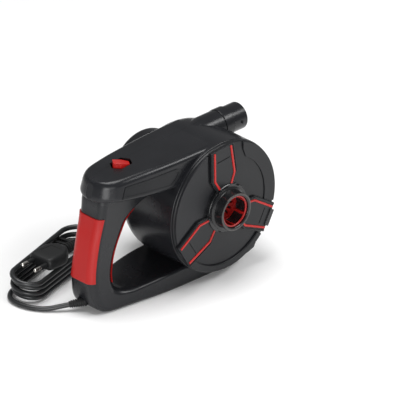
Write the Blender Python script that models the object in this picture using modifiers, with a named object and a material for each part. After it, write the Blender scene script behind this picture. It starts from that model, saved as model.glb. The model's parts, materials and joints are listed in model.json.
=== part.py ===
"""Electric air pump: a scroll blower in a drum housing, with a closed-loop handle and a mains lead.

Sizes are in millimetres and are scaled to metres when a mesh is made. X runs from the handle to the
drum, Y along the drum's axis (the inlet faces -Y) and Z up. The origin is on the resting face, right
below the drum's axis.
"""

import math

import bmesh
import bpy
from mathutils import Matrix, Vector

MM = 0.001
GAP = 0.3                   # clearance between neighbouring pieces
WALL = 2.6                  # thickness of the moulded shells

# Drum
AXIS_Z = 89.5               # height of the drum's axis
DRUM_R = 78.5
# The scroll: how much is added to the radius at an angle in degrees, with a corner below the outlet side
SCROLL = ((-130, 0.0), (-110, 1.5), (-90, 1.5), (-78, 3.0), (-66, 5.0), (-55, 9.0), (-48, 4.5), (-42, 4.5),
          (-20, 1.5), (20, 0.0))
DRUM_FRONT = -48.0
DRUM_BACK = 48.0
BACK_FILLET = 31.0
FRONT_FILLET = 1.5
DRUM_STEPS = 44
FACE_OPENING_R = 74.0

# Split between the front and the rear shell
SPLIT_Y = 6.0

# Inlet
HUB_R = 22.5
HUB_BORE_R = 19.0
HUB_FRONT = -71.0
COVER_R = 78.0

# Three arms on the cover
ARM_ANGLES = (95.0, 210.5, 331.0)
ARM_TOP = -56.2
STRIP_TOP = -56.9
STRIP_FLOOR = -55.4
STRIP_HALF = 1.2
STRIP_LINE = ((12.5, 75.0), (15.0, 40.0), (9.0, 27.5))
ARM_OUTLINE = ((-18.0, 77.6), (-20.5, 40.0), (-12.0, 23.5), (12.0, 23.5), (20.5, 40.0), (18.0, 77.6))

# Outlet
NOZZLE_Y = 8.0
NOZZLE_Z = 153.0
NOZZLE_START = 36.0
NOZZLE_END = 79.4
SPIGOT_R = 14.4             # the nozzle's end inside the housing's neck
NOZZLE_COLLAR_R = 17.4
NOZZLE_TIP_R = 15.8
NOZZLE_BORE_R = 12.6
NOZZLE_HOLE_R = 17.8
NECK_R = 16.8               # the housing's neck, up to the collar
NECK_BORE_R = 14.7
NECK_END = 46.0

# Hood: x, front y, rear y, bottom z, top z, corner radius
HOOD_STATIONS = (
    (-155.5, -15.0, 14.0, 139.5, 155.0, 4.5),
    (-153.0, -20.0, 18.5, 137.5, 157.5, 6.0),
    (-145.0, -26.0, 24.0, 136.5, 160.0, 7.0),
    (-130.0, -30.0, 26.5, 135.0, 162.0, 6.0),
    (-105.0, -35.0, 28.5, 133.0, 164.0, 5.0),
    (-75.0, -40.0, 30.0, 130.5, 165.3, 5.0),
    (-42.0, -44.0, 31.0, 128.0, 166.6, 5.0),
    (4.0, -46.0, 31.0, 122.0, 167.5, 5.0),
)
SIDE_FLARE = 4.0            # how much wider the hood is at its lower edge, on each side, up to the drum
NOSE_FLARE = 5.3            # and how much longer at its nose

# Handle and base: outer x, outer z, inner x, inner z, half width, corner radius
LOOP_STATIONS = (
    (-149.0, 150.0, -58.0, 146.0, 19.5, 8.0),
    (-155.0, 135.0, -62.0, 125.0, 19.5, 9.0),
    (-157.0, 120.0, -88.0, 119.5, 19.0, 9.0),
    (-160.0, 106.0, -111.0, 107.0, 18.5, 10.0),
    (-164.0, 90.0, -121.5, 91.0, 18.0, 10.0),
    (-168.0, 70.0, -131.5, 70.0, 18.0, 10.0),
    (-171.0, 50.0, -136.5, 52.0, 18.5, 10.0),
    (-171.5, 34.0, -138.5, 38.0, 20.0, 10.0),
    (-168.0, 15.0, -136.0, 27.0, 22.0, 10.0),
    (-158.0, 3.0, -129.0, 22.0, 24.0, 9.0),
    (-144.0, 0.0, -120.0, 20.0, 26.0, 7.0),
    (-110.0, 0.0, -106.0, 20.0, 30.0, 5.0),
    (-60.0, 0.0, -60.0, 23.5, 35.5, 4.0),
    (12.0, 0.0, 12.0, 25.0, 37.0, 4.0),
)
LOOP_STEPS = 22             # rings along the loop
GRIP_FROM = 2.3             # where along the stations the grips start and end
GRIP_TO = 6.6
FINGER_GRIP_TO = 7.3
GRIP_HEIGHT = 1.5           # how far a grip's surface stands off the shell
OUTER_GRIP_DEPTH = 5.0      # how far each grip reaches round the handle's sides
FINGER_GRIP_DEPTH = 3.2

# Rocker switch
ROCKER_X = -109.0
ROCKER_PIVOT_Z = 161.0
ROCKER_HALF_LENGTH = 12.0
ROCKER_HALF_WIDTH = 7.5
ROCKER_CLEARANCE = 2.0

# Housing screws: x, z, front y and rear y of the boss
HOUSING_SCREWS = (
    (-155.0, 36.0, -19.2, 19.2),
    (-112.0, 10.5, -28.0, 28.0),
    (-30.0, 12.0, -34.5, 34.5),
    (-141.0, 148.0, -28.5, 26.0),
    (-70.0, 148.0, -40.5, 29.8),
)
BOSS_R = 5.0
SCREW_HEAD_R = 3.4
SCREW_SHANK_R = 1.6
SCREW_CLEARANCE = 0.4
SCREW_TIP_Y = -10.0

# Motor and rear cover
MOTOR_R = 27.0
MOTOR_FRONT = 30.0
MOTOR_BACK = 72.0
COVER_BACK_R = 47.0
COVER_BACK_END = 86.0

# Mains lead
CORD_R = 3.0
GLAND_START = (-153.0, -7.3, 13.0)
GLAND_DIRECTION = (-0.785, 0.595, -0.17)
GLAND_TIP = 32.0
LEAD_ROUTE = (
    (-178.36, 11.92, 7.51), (-183.1, 15.5, 6.5), (-189.3, 20.2, 5.2), (-194.6, 24.6, 4.0), (-200.2, 30.6, 3.2),
    (-205.0, 37.5, 3.1), (-208.8, 45.0, 3.1), (-211.0, 53.0, 3.1), (-211.8, 60.0, 3.1), (-211.6, 66.0, 3.1),
)
HANK_LEFT = (-187.0, 68.0)
HANK_ANGLE = math.radians(15.0)
HANK_RUN = 100.0
HANK_FOLD_R = 18.0
HANK_BOTTOM = 1.6
HANK_TOP = 25.6
TIE_AT = 88.0
TAIL_START_Z = 29.0         # the tail lies on the hank's top, climbs round the right fold and runs to the plug
TAIL_TO = -101.0            # where round the right fold it leaves, in degrees
TAIL_STRAIGHT = 4.0
PLUG_Z = 34.0
RELIEF_LENGTH = 36.0
PLUG_LENGTH = 38.0

BLACK = (0.022, 0.024, 0.027)
RED = (0.52, 0.03, 0.028)
STEEL = (0.55, 0.55, 0.56)
COPPER = (0.72, 0.33, 0.16)
BRASS = (0.62, 0.46, 0.16)
GREY = (0.16, 0.16, 0.17)


# ---------------------------------------------------------------- scene and materials

def clear_scene():
    for item in list(bpy.data.objects):
        bpy.data.objects.remove(item, do_unlink=True)


def new_collection(name):
    collection = bpy.data.collections.new(name)
    bpy.context.scene.collection.children.link(collection)
    return collection


def plastic(name, colour, roughness, metallic=0.0):
    material = bpy.data.materials.new(name)
    material.use_nodes = True
    shader = material.node_tree.nodes["Principled BSDF"]
    shader.inputs["Base Color"].default_value = (*colour, 1.0)
    shader.inputs["Roughness"].default_value = roughness
    shader.inputs["Metallic"].default_value = metallic
    return material


clear_scene()
PARTS = new_collection("air_pump")
CUTTERS = new_collection("cutters")


def place(name, mesh, look=None):
    """Links a new object: a part when it has a look, and otherwise a cutter."""
    item = bpy.data.objects.new(name, mesh)
    if look is None:
        CUTTERS.objects.link(item)
        item.hide_render = True
        item.display_type = "WIRE"
        return item
    PARTS.objects.link(item)
    colour, roughness, metallic = look
    mesh.materials.append(plastic(name, colour, roughness, metallic))
    return item


SHELL_LOOK = (BLACK, 0.42, 0.0)
RUBBER_LOOK = (BLACK, 0.6, 0.0)
RED_LOOK = (RED, 0.38, 0.0)
STEEL_LOOK = (STEEL, 0.3, 1.0)
GREY_LOOK = (GREY, 0.5, 0.0)
COPPER_LOOK = (COPPER, 0.35, 1.0)
BRASS_LOOK = (BRASS, 0.3, 1.0)


# ---------------------------------------------------------------- shapes

def modify(item, kind, **settings):
    modifier = item.modifiers.new(kind.lower(), kind)
    for key, value in settings.items():
        setattr(modifier, key, value)
    return modifier


def boolean(item, operation, *others):
    for other in others:
        modify(item, "BOOLEAN", operation=operation, object=other, solver="EXACT")
    return item


def finish_mesh(name, bm):
    bmesh.ops.recalc_face_normals(bm, faces=bm.faces)
    mesh = bpy.data.meshes.new(name)
    bm.to_mesh(mesh)
    bm.free()
    mesh.shade_smooth()
    mesh.set_sharp_from_angle(angle=math.radians(35))
    return mesh


def loft(name, rings, look=None):
    """A closed skin through rings of equally many points, with a flat cap at each end."""
    bm = bmesh.new()
    loops = [[bm.verts.new(Vector(p) * MM) for p in ring] for ring in rings]
    count = len(loops[0])
    for low, high in zip(loops, loops[1:]):
        for i in range(count):
            j = (i + 1) % count
            bm.faces.new((low[i], low[j], high[j], high[i]))
    bm.faces.new(loops[0])
    bm.faces.new(loops[-1])
    return place(name, finish_mesh(name, bm), look)


def turned(name, profile, look=None, at=(0, 0, AXIS_Z), axis="Y", steps=40, ring=False):
    """A profile of (radius, place along the axis) points turned about an axis through a point.

    A solid's profile starts and ends on the axis; a ring's profile closes on itself.
    """
    flip = profile[::-1] if axis in "YX" else profile
    mesh = bpy.data.meshes.new(name)
    points = [(r * MM, 0.0, a * MM) for r, a in flip]
    edges = [(i, i + 1) for i in range(len(points) - 1)]
    if ring:
        edges.append((len(points) - 1, 0))
    mesh.from_pydata(points, edges, [])
    item = place(name, mesh, look)
    item.location = Vector(at) * MM
    if axis == "Y":
        item.rotation_euler = (-math.pi / 2, 0, 0)
    elif axis == "X":
        item.rotation_euler = (0, math.pi / 2, 0)
    modify(item, "SCREW", axis="Z", angle=2 * math.pi, steps=steps, render_steps=steps,
           use_merge_vertices=True, merge_threshold=0.00001, use_smooth_shade=True)
    return item


def box(name, low, high, look=None, bevel=0.0):
    bm = bmesh.new()
    bmesh.ops.create_cube(bm, size=1.0)
    size = (Vector(high) - Vector(low)) * MM
    centre = (Vector(high) + Vector(low)) / 2 * MM
    bmesh.ops.transform(bm, matrix=Matrix.Diagonal((*size, 1.0)), verts=bm.verts)
    item = place(name, finish_mesh(name, bm), look)
    item.location = centre
    if bevel:
        modify(item, "BEVEL", width=bevel * MM, segments=2, limit_method="ANGLE")
    return item


def from_curve(name, curve, look):
    """The mesh of a curve, with its caps welded on."""
    mesh = bpy.data.meshes.new_from_object(curve.evaluated_get(bpy.context.evaluated_depsgraph_get()))
    bm = bmesh.new()
    bm.from_mesh(mesh)
    bpy.data.meshes.remove(mesh)
    bmesh.ops.remove_doubles(bm, verts=bm.verts, dist=0.000001)
    made = finish_mesh(name, bm)
    matrix = curve.matrix_world.copy()
    bpy.data.objects.remove(curve, do_unlink=True)
    item = place(name, made, look)
    item.matrix_world = matrix
    return item


def plate(name, outline, low, high, look=None, upright=True):
    """An outline extruded between two planes: along Y when upright, and otherwise along Z."""
    data = bpy.data.curves.new(name, "CURVE")
    data.dimensions = "2D"
    data.fill_mode = "BOTH"
    data.extrude = abs(high - low) / 2 * MM
    spline = data.splines.new("POLY")
    spline.points.add(len(outline) - 1)
    for point, (a, b) in zip(spline.points, outline):
        point.co = (a * MM, b * MM, 0.0, 1.0)
    spline.use_cyclic_u = True
    curve = bpy.data.objects.new(name + "_outline", data)
    bpy.context.scene.collection.objects.link(curve)
    middle = (low + high) / 2 * MM
    curve.location = (0, middle, 0) if upright else (0, 0, middle)
    curve.rotation_euler = (math.pi / 2, 0, 0) if upright else (0, 0, 0)
    bpy.context.view_layer.update()
    return from_curve(name, curve, look)


def tube(name, points, radius, look, resolution=2):
    """A round tube along points, left as a curve object with filled caps."""
    data = bpy.data.curves.new(name, "CURVE")
    data.dimensions = "3D"
    data.bevel_depth = radius * MM
    data.bevel_resolution = resolution
    data.use_fill_caps = True
    spline = data.splines.new("POLY")
    spline.points.add(len(points) - 1)
    for point, co in zip(spline.points, points):
        point.co = (*(Vector(co) * MM), 1.0)
    colour, roughness, metallic = look
    data.materials.append(plastic(name, colour, roughness, metallic))
    item = bpy.data.objects.new(name, data)
    PARTS.objects.link(item)
    return item


def catmull(values, t):
    """A smooth curve through a list of tuples, read at a fractional index."""
    last = len(values) - 1
    i = min(int(t), last - 1)
    u = t - i
    a, b, c, d = (Vector(values[min(max(k, 0), last)]) for k in (i - 1, i, i + 1, i + 2))
    return 0.5 * (2 * b + (c - a) * u + (2 * a - 5 * b + 4 * c - d) * u ** 2 + (3 * (b - c) + d - a) * u ** 3)


def smooth_route(points, steps):
    return [catmull(points, i * (len(points) - 1) / steps) for i in range(steps + 1)]


def rounded_section(u0, u1, v0, v1, radius, steps=2):
    """A rounded rectangle's (u, v) points."""
    radius = min(radius, 0.49 * (u1 - u0), 0.49 * (v1 - v0))
    corners = ((u1, v1, 0), (u0, v1, 90), (u0, v0, 180), (u1, v0, 270))
    points = []
    for u, v, start in corners:
        cu = u - radius if u == u1 else u + radius
        cv = v - radius if v == v1 else v + radius
        for k in range(steps + 1):
            angle = math.radians(start + 90 * k / steps)
            points.append((cu + radius * math.cos(angle), cv + radius * math.sin(angle)))
    return points


# ---------------------------------------------------------------- housing

def scroll_radius(angle):
    """The drum's radius in a direction in degrees: round, with a scroll at the bottom."""
    if angle > 180:
        angle -= 360
    for (low, start), (high, end) in zip(SCROLL, SCROLL[1:]):
        if low <= angle <= high:
            return DRUM_R + start + (end - start) * (angle - low) / (high - low)
    return DRUM_R


def drum_ring(y, inward):
    ring = []
    for i in range(DRUM_STEPS):
        degrees = 360 * i / DRUM_STEPS
        radius = scroll_radius(degrees) - inward
        angle = math.radians(degrees)
        ring.append((radius * math.cos(angle), y, AXIS_Z + radius * math.sin(angle)))
    return ring


def drum_body(name, inset):
    """The drum, or its cavity when inset: straight sides and a rounded back."""
    front = DRUM_FRONT + inset
    fillet = BACK_FILLET - inset / 2
    start = DRUM_BACK - inset - fillet
    rings = [drum_ring(front, inset + FRONT_FILLET), drum_ring(front + FRONT_FILLET, inset)]
    for k in range(4):
        angle = math.radians(90 * k / 3)
        rings.append(drum_ring(start + fillet * math.sin(angle), inset + fillet * (1 - math.cos(angle))))
    return loft(name, rings)


def hood_body(name, inset, steps=8):
    """The hood over the handle and drum, flared towards its lower edge."""
    rings = []
    last = len(HOOD_STATIONS) - 1
    for i in range(steps + 1):
        x, front, rear, bottom, top, radius = catmull(HOOD_STATIONS, i * last / steps)
        side = SIDE_FLARE * min(max((-42 - x) / 63, 0.0), 1.0)
        nose = NOSE_FLARE * min(max((-130 - x) / 25.5, 0.0), 1.0)
        x += inset * (1 - i / steps)
        section = rounded_section(front + inset, rear - inset, bottom + inset, top - inset,
                                  max(radius - inset, 1.5))
        middle, half = (front + rear) / 2, (rear - front) / 2
        ring = []
        for y, z in section:
            low = (top - z) / (top - bottom)
            ring.append((x - nose * low, y + side * low * (y - middle) / half, z))
        rings.append(ring)
    return loft(name, rings)


def loop_rings(start, end, steps, inset, low_at=None, high_at=None, spread=0.0):
    """Sections across the handle and base, between two stations.

    low_at and high_at limit a section's depth, each as a share of the depth and a distance added to it,
    and spread widens it.
    """
    rings = []
    for i in range(steps + 1):
        ox, oz, ix, iz, half, radius = catmull(LOOP_STATIONS, start + (end - start) * i / steps)
        out, base = Vector((ox, max(oz, 0.0))), Vector((ix, iz))
        depth = (out - base).length
        along = (out - base) / depth
        low = inset if low_at is None else low_at[0] * depth + low_at[1]
        high = depth - inset if high_at is None else high_at[0] * depth + high_at[1]
        width = half - inset + spread
        section = rounded_section(low, high, -width, width, max(radius - inset, 1.5))
        rings.append([(base.x + along.x * u, v, base.y + along.y * u) for u, v in section])
    return rings


def screw_hole(name, x, z, rear):
    seat = rear - 4.5
    head, shank = SCREW_HEAD_R + SCREW_CLEARANCE, SCREW_SHANK_R + SCREW_CLEARANCE
    profile = [(0, SCREW_TIP_Y - 0.5), (shank, SCREW_TIP_Y - 0.5), (shank, seat - GAP), (head, seat - GAP),
               (head, rear + 14), (0, rear + 14)]
    return turned(name, profile, at=(x, 0, z), steps=10)


def housing():
    """The front and rear shell: one hollow body split at SPLIT_Y."""
    last = len(LOOP_STATIONS) - 1
    hood = hood_body("hood_solid", 0.0)
    loop = loft("loop_solid", loop_rings(0, last, LOOP_STEPS, 0.0))
    hollows = [
        drum_body("drum_hollow", WALL),
        hood_body("hood_hollow", WALL),
        loft("loop_hollow", loop_rings(0.2, last - 0.1, 20, WALL)),
    ]
    neck = turned("neck", [(0, 2), (14.2, 2), (NECK_R, 20), (NECK_R, NECK_END), (0, NECK_END)],
                  at=(0, NOZZLE_Y, NOZZLE_Z), axis="X", steps=24)
    bosses, holes = [], []
    for number, (x, z, front, rear) in enumerate(HOUSING_SCREWS, 1):
        profile = [(0, front), (BOSS_R, front), (BOSS_R, rear), (0, rear)]
        bosses.append(turned(f"boss_{number}", profile, at=(x, 0, z), steps=10))
        holes.append(screw_hole(f"screw_hole_{number}", x, z, rear))
    opening = [(0, DRUM_FRONT - 5), (FACE_OPENING_R, DRUM_FRONT - 5), (FACE_OPENING_R, DRUM_FRONT + 6),
               (0, DRUM_FRONT + 6)]
    half_x, half_y = ROCKER_HALF_LENGTH + ROCKER_CLEARANCE, ROCKER_HALF_WIDTH + ROCKER_CLEARANCE
    gland_start, gland_way = Vector(GLAND_START), Vector(GLAND_DIRECTION)
    gland_profile = [(0, 3.7), (5.5, 3.7), (5.5, 6.7), (4.6, 6.9), (4.6, 12.9), (6.1, 12.9), (6.1, 40), (0, 40)]
    gland_hole = turned("gland_hole", gland_profile[::-1], at=gland_start, axis="Z", steps=14)
    gland_hole.rotation_euler = gland_way.to_track_quat("Z", "Y").to_euler()
    holes += [
        turned("face_opening", opening, steps=40),
        turned("rear_opening", [(0, 40), (38, 40), (38, 60), (0, 60)], steps=32),
        turned("outlet_opening", [(0, 20), (NECK_BORE_R, 20), (NECK_BORE_R, NECK_END), (NOZZLE_HOLE_R, NECK_END),
                                  (NOZZLE_HOLE_R, 130), (0, 130)],
               at=(0, NOZZLE_Y, NOZZLE_Z), axis="X", steps=20),
        box("switch_opening", (ROCKER_X - half_x, -half_y, 150), (ROCKER_X + half_x, half_y, 180)),
        gland_hole,
    ]
    sides = {
        "housing_front": ((-250, -120, -20), (150, SPLIT_Y - GAP / 2, 250)),
        "housing_rear": ((-250, SPLIT_Y + GAP / 2, -20), (150, 120, 250)),
    }
    for name, (low, high) in sides.items():
        shell = drum_body(name + "_solid", 0.0)
        shell.name = name
        CUTTERS.objects.unlink(shell)
        PARTS.objects.link(shell)
        shell.hide_render = False
        shell.display_type = "TEXTURED"
        shell.data.materials.append(plastic(name, *SHELL_LOOK[:2]))
        boolean(shell, "UNION", hood, loop, neck)
        boolean(shell, "DIFFERENCE", *hollows)
        boolean(shell, "UNION", *bosses)
        boolean(shell, "DIFFERENCE", *holes)
        boolean(shell, "INTERSECT", box(name + "_side", low, high))


def housing_screws():
    for number, (x, z, _front, rear) in enumerate(HOUSING_SCREWS, 1):
        seat = rear - 4.5
        profile = [(0, SCREW_TIP_Y), (SCREW_SHANK_R, SCREW_TIP_Y + 1.5), (SCREW_SHANK_R, seat),
                   (SCREW_HEAD_R, seat), (SCREW_HEAD_R, seat + 1.6), (1.9, seat + 2.5), (0, seat + 2.5)]
        screw = turned(f"housing_screw_{number}", profile, STEEL_LOOK, at=(x, 0, z), steps=10)
        slots = [box(f"screw_slot_{number}_{k}", low, high) for k, (low, high) in enumerate((
            ((x - 1.7, seat + 1.3, z - 0.4), (x + 1.7, seat + 6, z + 0.4)),
            ((x - 0.4, seat + 1.2, z - 1.7), (x + 0.4, seat + 6.5, z + 1.7))))]
        boolean(screw, "DIFFERENCE", *slots)


def grips():
    """The soft pads on the back and the inner side of the handle."""
    skin = loft("grip_seat", loop_rings(0, len(LOOP_STATIONS) - 1, LOOP_STEPS, -GAP))
    pads = (
        ("handle_grip", GRIP_FROM, GRIP_TO, (-0.6, 0.0), (1.0, -OUTER_GRIP_DEPTH)),
        ("finger_grip", GRIP_FROM + 0.3, FINGER_GRIP_TO, (0.0, FINGER_GRIP_DEPTH), (1.6, 0.0)),
    )
    for name, start, end, cut_from, cut_to in pads:
        pad = loft(name, loop_rings(start, end, 10, -GRIP_HEIGHT), RED_LOOK)
        beyond = loft(name + "_limit", loop_rings(start - 0.3, end + 0.3, 10, 0.0, cut_from, cut_to, 9.0))
        boolean(pad, "DIFFERENCE", skin, beyond)


def badge():
    """A blank plate on the hood's front side, following its taper."""
    outer = hood_body("side_plate_skin", -1.0)
    inner = hood_body("side_plate_seat", -GAP)
    outline = [(-137, 140.5), (-71, 137), (-62, 144), (-57, 152), (-63, 156.5), (-132, 153.5)]
    plate_item = plate("side_plate", outline, -60, -8, SHELL_LOOK)
    boolean(plate_item, "INTERSECT", outer)
    boolean(plate_item, "DIFFERENCE", inner)


# ---------------------------------------------------------------- front cover, inlet and outlet

def turn_outline(outline, degrees):
    """Points given for an upright arm, turned about the drum's axis to another direction."""
    turn = math.radians(degrees - 90)
    c, s = math.cos(turn), math.sin(turn)
    return [(x * c - z * s, AXIS_Z + x * s + z * c) for x, z in outline]


def band(line, half):
    """The outline of a strip of even width along a bent line."""
    sides = ([], [])
    for i, point in enumerate(line):
        here = Vector(point)
        before = here - Vector(line[i - 1]) if i else None
        after = Vector(line[i + 1]) - here if i < len(line) - 1 else None
        ways = [v.normalized() for v in (before, after) if v is not None]
        way = sum(ways, Vector((0, 0))).normalized()
        normal = Vector((-way.y, way.x))
        reach = half / max(0.5, way.dot(ways[0]))
        sides[0].append(tuple(here + normal * reach))
        sides[1].append(tuple(here - normal * reach))
    return sides[0] + sides[1][::-1]


def face_cover():
    """The round front cover with its hub, three raised arms and a groove for each red strip."""
    profile = [
        (COVER_R, DRUM_FRONT - GAP), (73.4, DRUM_FRONT - GAP), (73.4, -44.5), (71.0, -44.5), (71.0, -50.0),
        (32.0, -51.4), (21.5, -51.4), (21.5, -44.0), (HUB_BORE_R, -44.0), (HUB_BORE_R, -70.0), (19.8, HUB_FRONT),
        (21.7, HUB_FRONT), (HUB_R, -70.2), (HUB_R, -60.0), (25.5, -58.8), (26.0, -54.0), (32.0, -54.0),
        (75.8, -52.2), (COVER_R, -50.4),
    ]
    cover = turned("face_cover", profile, SHELL_LOOK, steps=36, ring=True)
    for number, degrees in enumerate(ARM_ANGLES, 1):
        arm = plate(f"arm_{number}_solid", turn_outline(ARM_OUTLINE, degrees), ARM_TOP, -51.9)
        boolean(cover, "UNION", arm)
    for number, degrees in enumerate(ARM_ANGLES, 1):
        for side in (-1, 1):
            line = [(side * x, z) for x, z in STRIP_LINE]
            longer = [(line[0][0], line[0][1] + GAP), line[1], (line[2][0] * 0.98, line[2][1] - GAP)]
            label = f"{number}{'a' if side < 0 else 'b'}"
            groove = plate(f"groove_{label}", turn_outline(band(longer, STRIP_HALF + GAP), degrees),
                           -70, STRIP_FLOOR + GAP)
            boolean(cover, "DIFFERENCE", groove)
            plate(f"accent_strip_{label}", turn_outline(band(line, STRIP_HALF), degrees),
                  STRIP_TOP, STRIP_FLOOR, RED_LOOK)


def inlet_guard():
    """A cage in the hub: a front ring, a slotted disc at the back and bars between them."""
    outer, inner = HUB_BORE_R - GAP, HUB_BORE_R - 2.2
    profile = [(0, -49.2), (inner, -49.2), (inner, -68.5), (outer, -68.5), (outer, -47.0), (0, -47.0)]
    guard = turned("inlet_guard", profile, RED_LOOK, steps=28)
    windows = []
    for k in range(6):
        angle = math.radians(30 + 60 * k)
        window = box(f"guard_window_{k}", (-6.0, -65.5, 8.0), (6.0, -52.0, 30.0))
        window.matrix_world = (Matrix.Translation((0, 0, AXIS_Z * MM)) @ Matrix.Rotation(angle, 4, "Y")
                               @ window.matrix_basis)
        slot = box(f"guard_slot_{k}", (-2.6, -60.0, 5.0), (2.6, -40.0, 14.0))
        slot.matrix_world = (Matrix.Translation((0, 0, AXIS_Z * MM)) @ Matrix.Rotation(angle, 4, "Y")
                             @ slot.matrix_basis)
        windows += [window, slot]
    boolean(guard, "DIFFERENCE", *windows)


def outlet_nozzle():
    """The tube that the hose pushes onto, with a collar and two bayonet pegs."""
    spigot, collar, tip, bore = SPIGOT_R, NOZZLE_COLLAR_R, NOZZLE_TIP_R, NOZZLE_BORE_R
    shoulder = NECK_END + GAP
    profile = [
        (bore, NOZZLE_START), (spigot, NOZZLE_START), (spigot, shoulder), (collar, shoulder), (collar, 58.5), (tip, 60.0),
        (tip, NOZZLE_END - 0.8), (tip - 0.8, NOZZLE_END), (bore + 0.6, NOZZLE_END), (bore, NOZZLE_END - 0.6),
    ]
    nozzle = turned("outlet_nozzle", profile, SHELL_LOOK, at=(0, NOZZLE_Y, NOZZLE_Z), axis="X", steps=24, ring=True)
    for side in (-1, 1):
        reach = [NOZZLE_Y + side * (tip - 1.2), NOZZLE_Y + side * (tip + 2.0)]
        profile = [(0, min(reach)), (1.7, min(reach)), (1.7, max(reach)), (0, max(reach))]
        peg = turned(f"peg_{side}", profile, at=(71.0, 0, NOZZLE_Z), steps=12)
        boolean(nozzle, "UNION", peg)


# ---------------------------------------------------------------- blower and motor

def blower():
    """The scroll casing, its lid with the inlet duct, and the impeller."""
    cup = [(72.5, -17.7), (72.5, 26.0), (16.0, 26.0), (16.0, 23.4), (70.0, 23.4), (70.0, -17.7)]
    casing = turned("volute_casing", cup, GREY_LOOK, steps=24, ring=True)
    way_out = turned("volute_outlet", [(0, 4), (NOZZLE_HOLE_R, 4), (NOZZLE_HOLE_R, 110), (0, 110)],
                     at=(0, NOZZLE_Y, NOZZLE_Z), axis="X", steps=20)
    boolean(casing, "DIFFERENCE", way_out)
    lid = [(72.5, -20.5), (72.5, -18.0), (18.6, -18.0), (18.6, -43.6), (21.2, -43.6), (21.2, -20.5)]
    turned("volute_lid", lid, GREY_LOOK, steps=24, ring=True)
    wheel = [(0, 8.0), (4.0, 8.0), (9.0, 12.0), (12.0, 18.0), (54.0, 18.0), (54.0, 20.2), (2.8, 20.2),
             (2.8, 14.0), (0, 14.0)]
    impeller = turned("impeller", wheel, RED_LOOK, steps=28)
    blades = 9
    for k in range(blades):
        turn = 360 * k / blades
        line = []
        for step in range(5):
            radius = 17 + 36 * step / 4
            angle = math.radians(turn + 11 * step)
            line.append((radius * math.cos(angle), radius * math.sin(angle)))
        outline = [(x, AXIS_Z + z) for x, z in band(line, 0.9)]
        boolean(impeller, "UNION", plate(f"blade_{k}", outline, -12.0, 18.8))


def motor():
    """A commutator motor on the drum's axis: can, magnets, bearings, armature, brushes and fixings."""
    can_r = MOTOR_R
    turned("motor_can", [(can_r, MOTOR_FRONT), (can_r, MOTOR_BACK), (can_r - 1.4, MOTOR_BACK),
                         (can_r - 1.4, MOTOR_FRONT)], STEEL_LOOK, steps=24, ring=True)
    turned("front_bearing", [(9.0, 28.6), (9.0, 33.4), (2.7, 33.4), (2.7, 28.6)], BRASS_LOOK, steps=24, ring=True)
    turned("rear_bearing", [(8.0, 66.0), (8.0, 70.8), (2.7, 70.8), (2.7, 66.0)], BRASS_LOOK, steps=24, ring=True)
    turned("front_end_bell", [(can_r - 1.7, 29.2), (can_r - 1.7, 34.0), (9.3, 34.0), (9.3, 29.2)],
           STEEL_LOOK, steps=24, ring=True)
    turned("rear_end_bell", [(can_r - 1.7, 66.4), (can_r - 1.7, 71.6), (8.3, 71.6), (8.3, 66.4)],
           GREY_LOOK, steps=24, ring=True)
    turned("mounting_ring", [(33.0, 26.3), (33.0, 33.0), (27.3, 33.0), (27.3, 29.0), (24.0, 29.0), (24.0, 26.3)],
           RUBBER_LOOK, steps=24, ring=True)
    turned("stator", [(can_r - 1.7, 36.0), (can_r - 1.7, 60.0), (19.5, 60.0), (19.5, 36.0)], GREY_LOOK,
           steps=24, ring=True)
    turned("motor_shaft", [(0, 14.5), (2.5, 14.5), (2.5, 77.0), (0, 77.0)], STEEL_LOOK, steps=20)
    armature = turned("armature", [(18.6, 38.0), (18.6, 57.0), (2.8, 57.0), (2.8, 38.0)], STEEL_LOOK,
                      steps=24, ring=True)
    for k in range(8):
        slot = box(f"armature_slot_{k}", (-1.1, 30, 13.0), (1.1, 64, 25.0))
        slot.matrix_world = (Matrix.Translation((0, 0, AXIS_Z * MM))
                             @ Matrix.Rotation(math.radians(45 * k), 4, "Y") @ slot.matrix_basis)
        boolean(armature, "DIFFERENCE", slot)
    turned("front_winding", [(16.5, 35.0), (17.0, 36.5), (16.5, 37.7), (4.0, 37.7), (3.0, 36.5), (4.0, 35.0)],
           COPPER_LOOK, steps=20, ring=True)
    turned("rear_winding", [(16.5, 57.3), (17.0, 58.6), (16.5, 59.8), (4.0, 59.8), (3.0, 58.6), (4.0, 57.3)],
           COPPER_LOOK, steps=20, ring=True)
    turned("commutator", [(8.0, 60.2), (8.0, 65.4), (2.8, 65.4), (2.8, 60.2)], COPPER_LOOK, steps=24, ring=True)
    for number, side in ((1, -1), (2, 1)):
        ends = sorted((side * 8.3, side * 16.5))
        box(f"carbon_brush_{number}", (ends[0], 61.0, AXIS_Z - 2.2), (ends[1], 65.0, AXIS_Z + 2.2), GREY_LOOK)
    turned("cooling_fan", [(19.5, 74.0), (19.5, 75.6), (2.8, 75.6), (2.8, 74.0)], GREY_LOOK, steps=20, ring=True)


def motor_cover():
    """The round rear cover with a flange and ten air slots."""
    outer, inner = COVER_BACK_R, COVER_BACK_R - 2.4
    profile = [(0, COVER_BACK_END - 2.4), (inner - 9, COVER_BACK_END - 2.4), (inner, COVER_BACK_END - 11),
               (inner, 48.3), (49.0, 48.3), (49.0, 51.0), (outer, 51.5)]
    for k in range(4):
        angle = math.radians(90 * k / 3)
        profile.append((outer - 10 * (1 - math.cos(angle)), COVER_BACK_END - 10 + 10 * math.sin(angle)))
    profile.append((0, COVER_BACK_END))
    cover = turned("motor_cover", profile, SHELL_LOOK, steps=32)
    for k in range(10):
        slot = box(f"air_slot_{k}", (-1.8, 78, 12.0), (1.8, 92, 31.0))
        slot.matrix_world = (Matrix.Translation((0, 0, AXIS_Z * MM))
                             @ Matrix.Rotation(math.radians(36 * k), 4, "Y") @ slot.matrix_basis)
        boolean(cover, "DIFFERENCE", slot)


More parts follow.
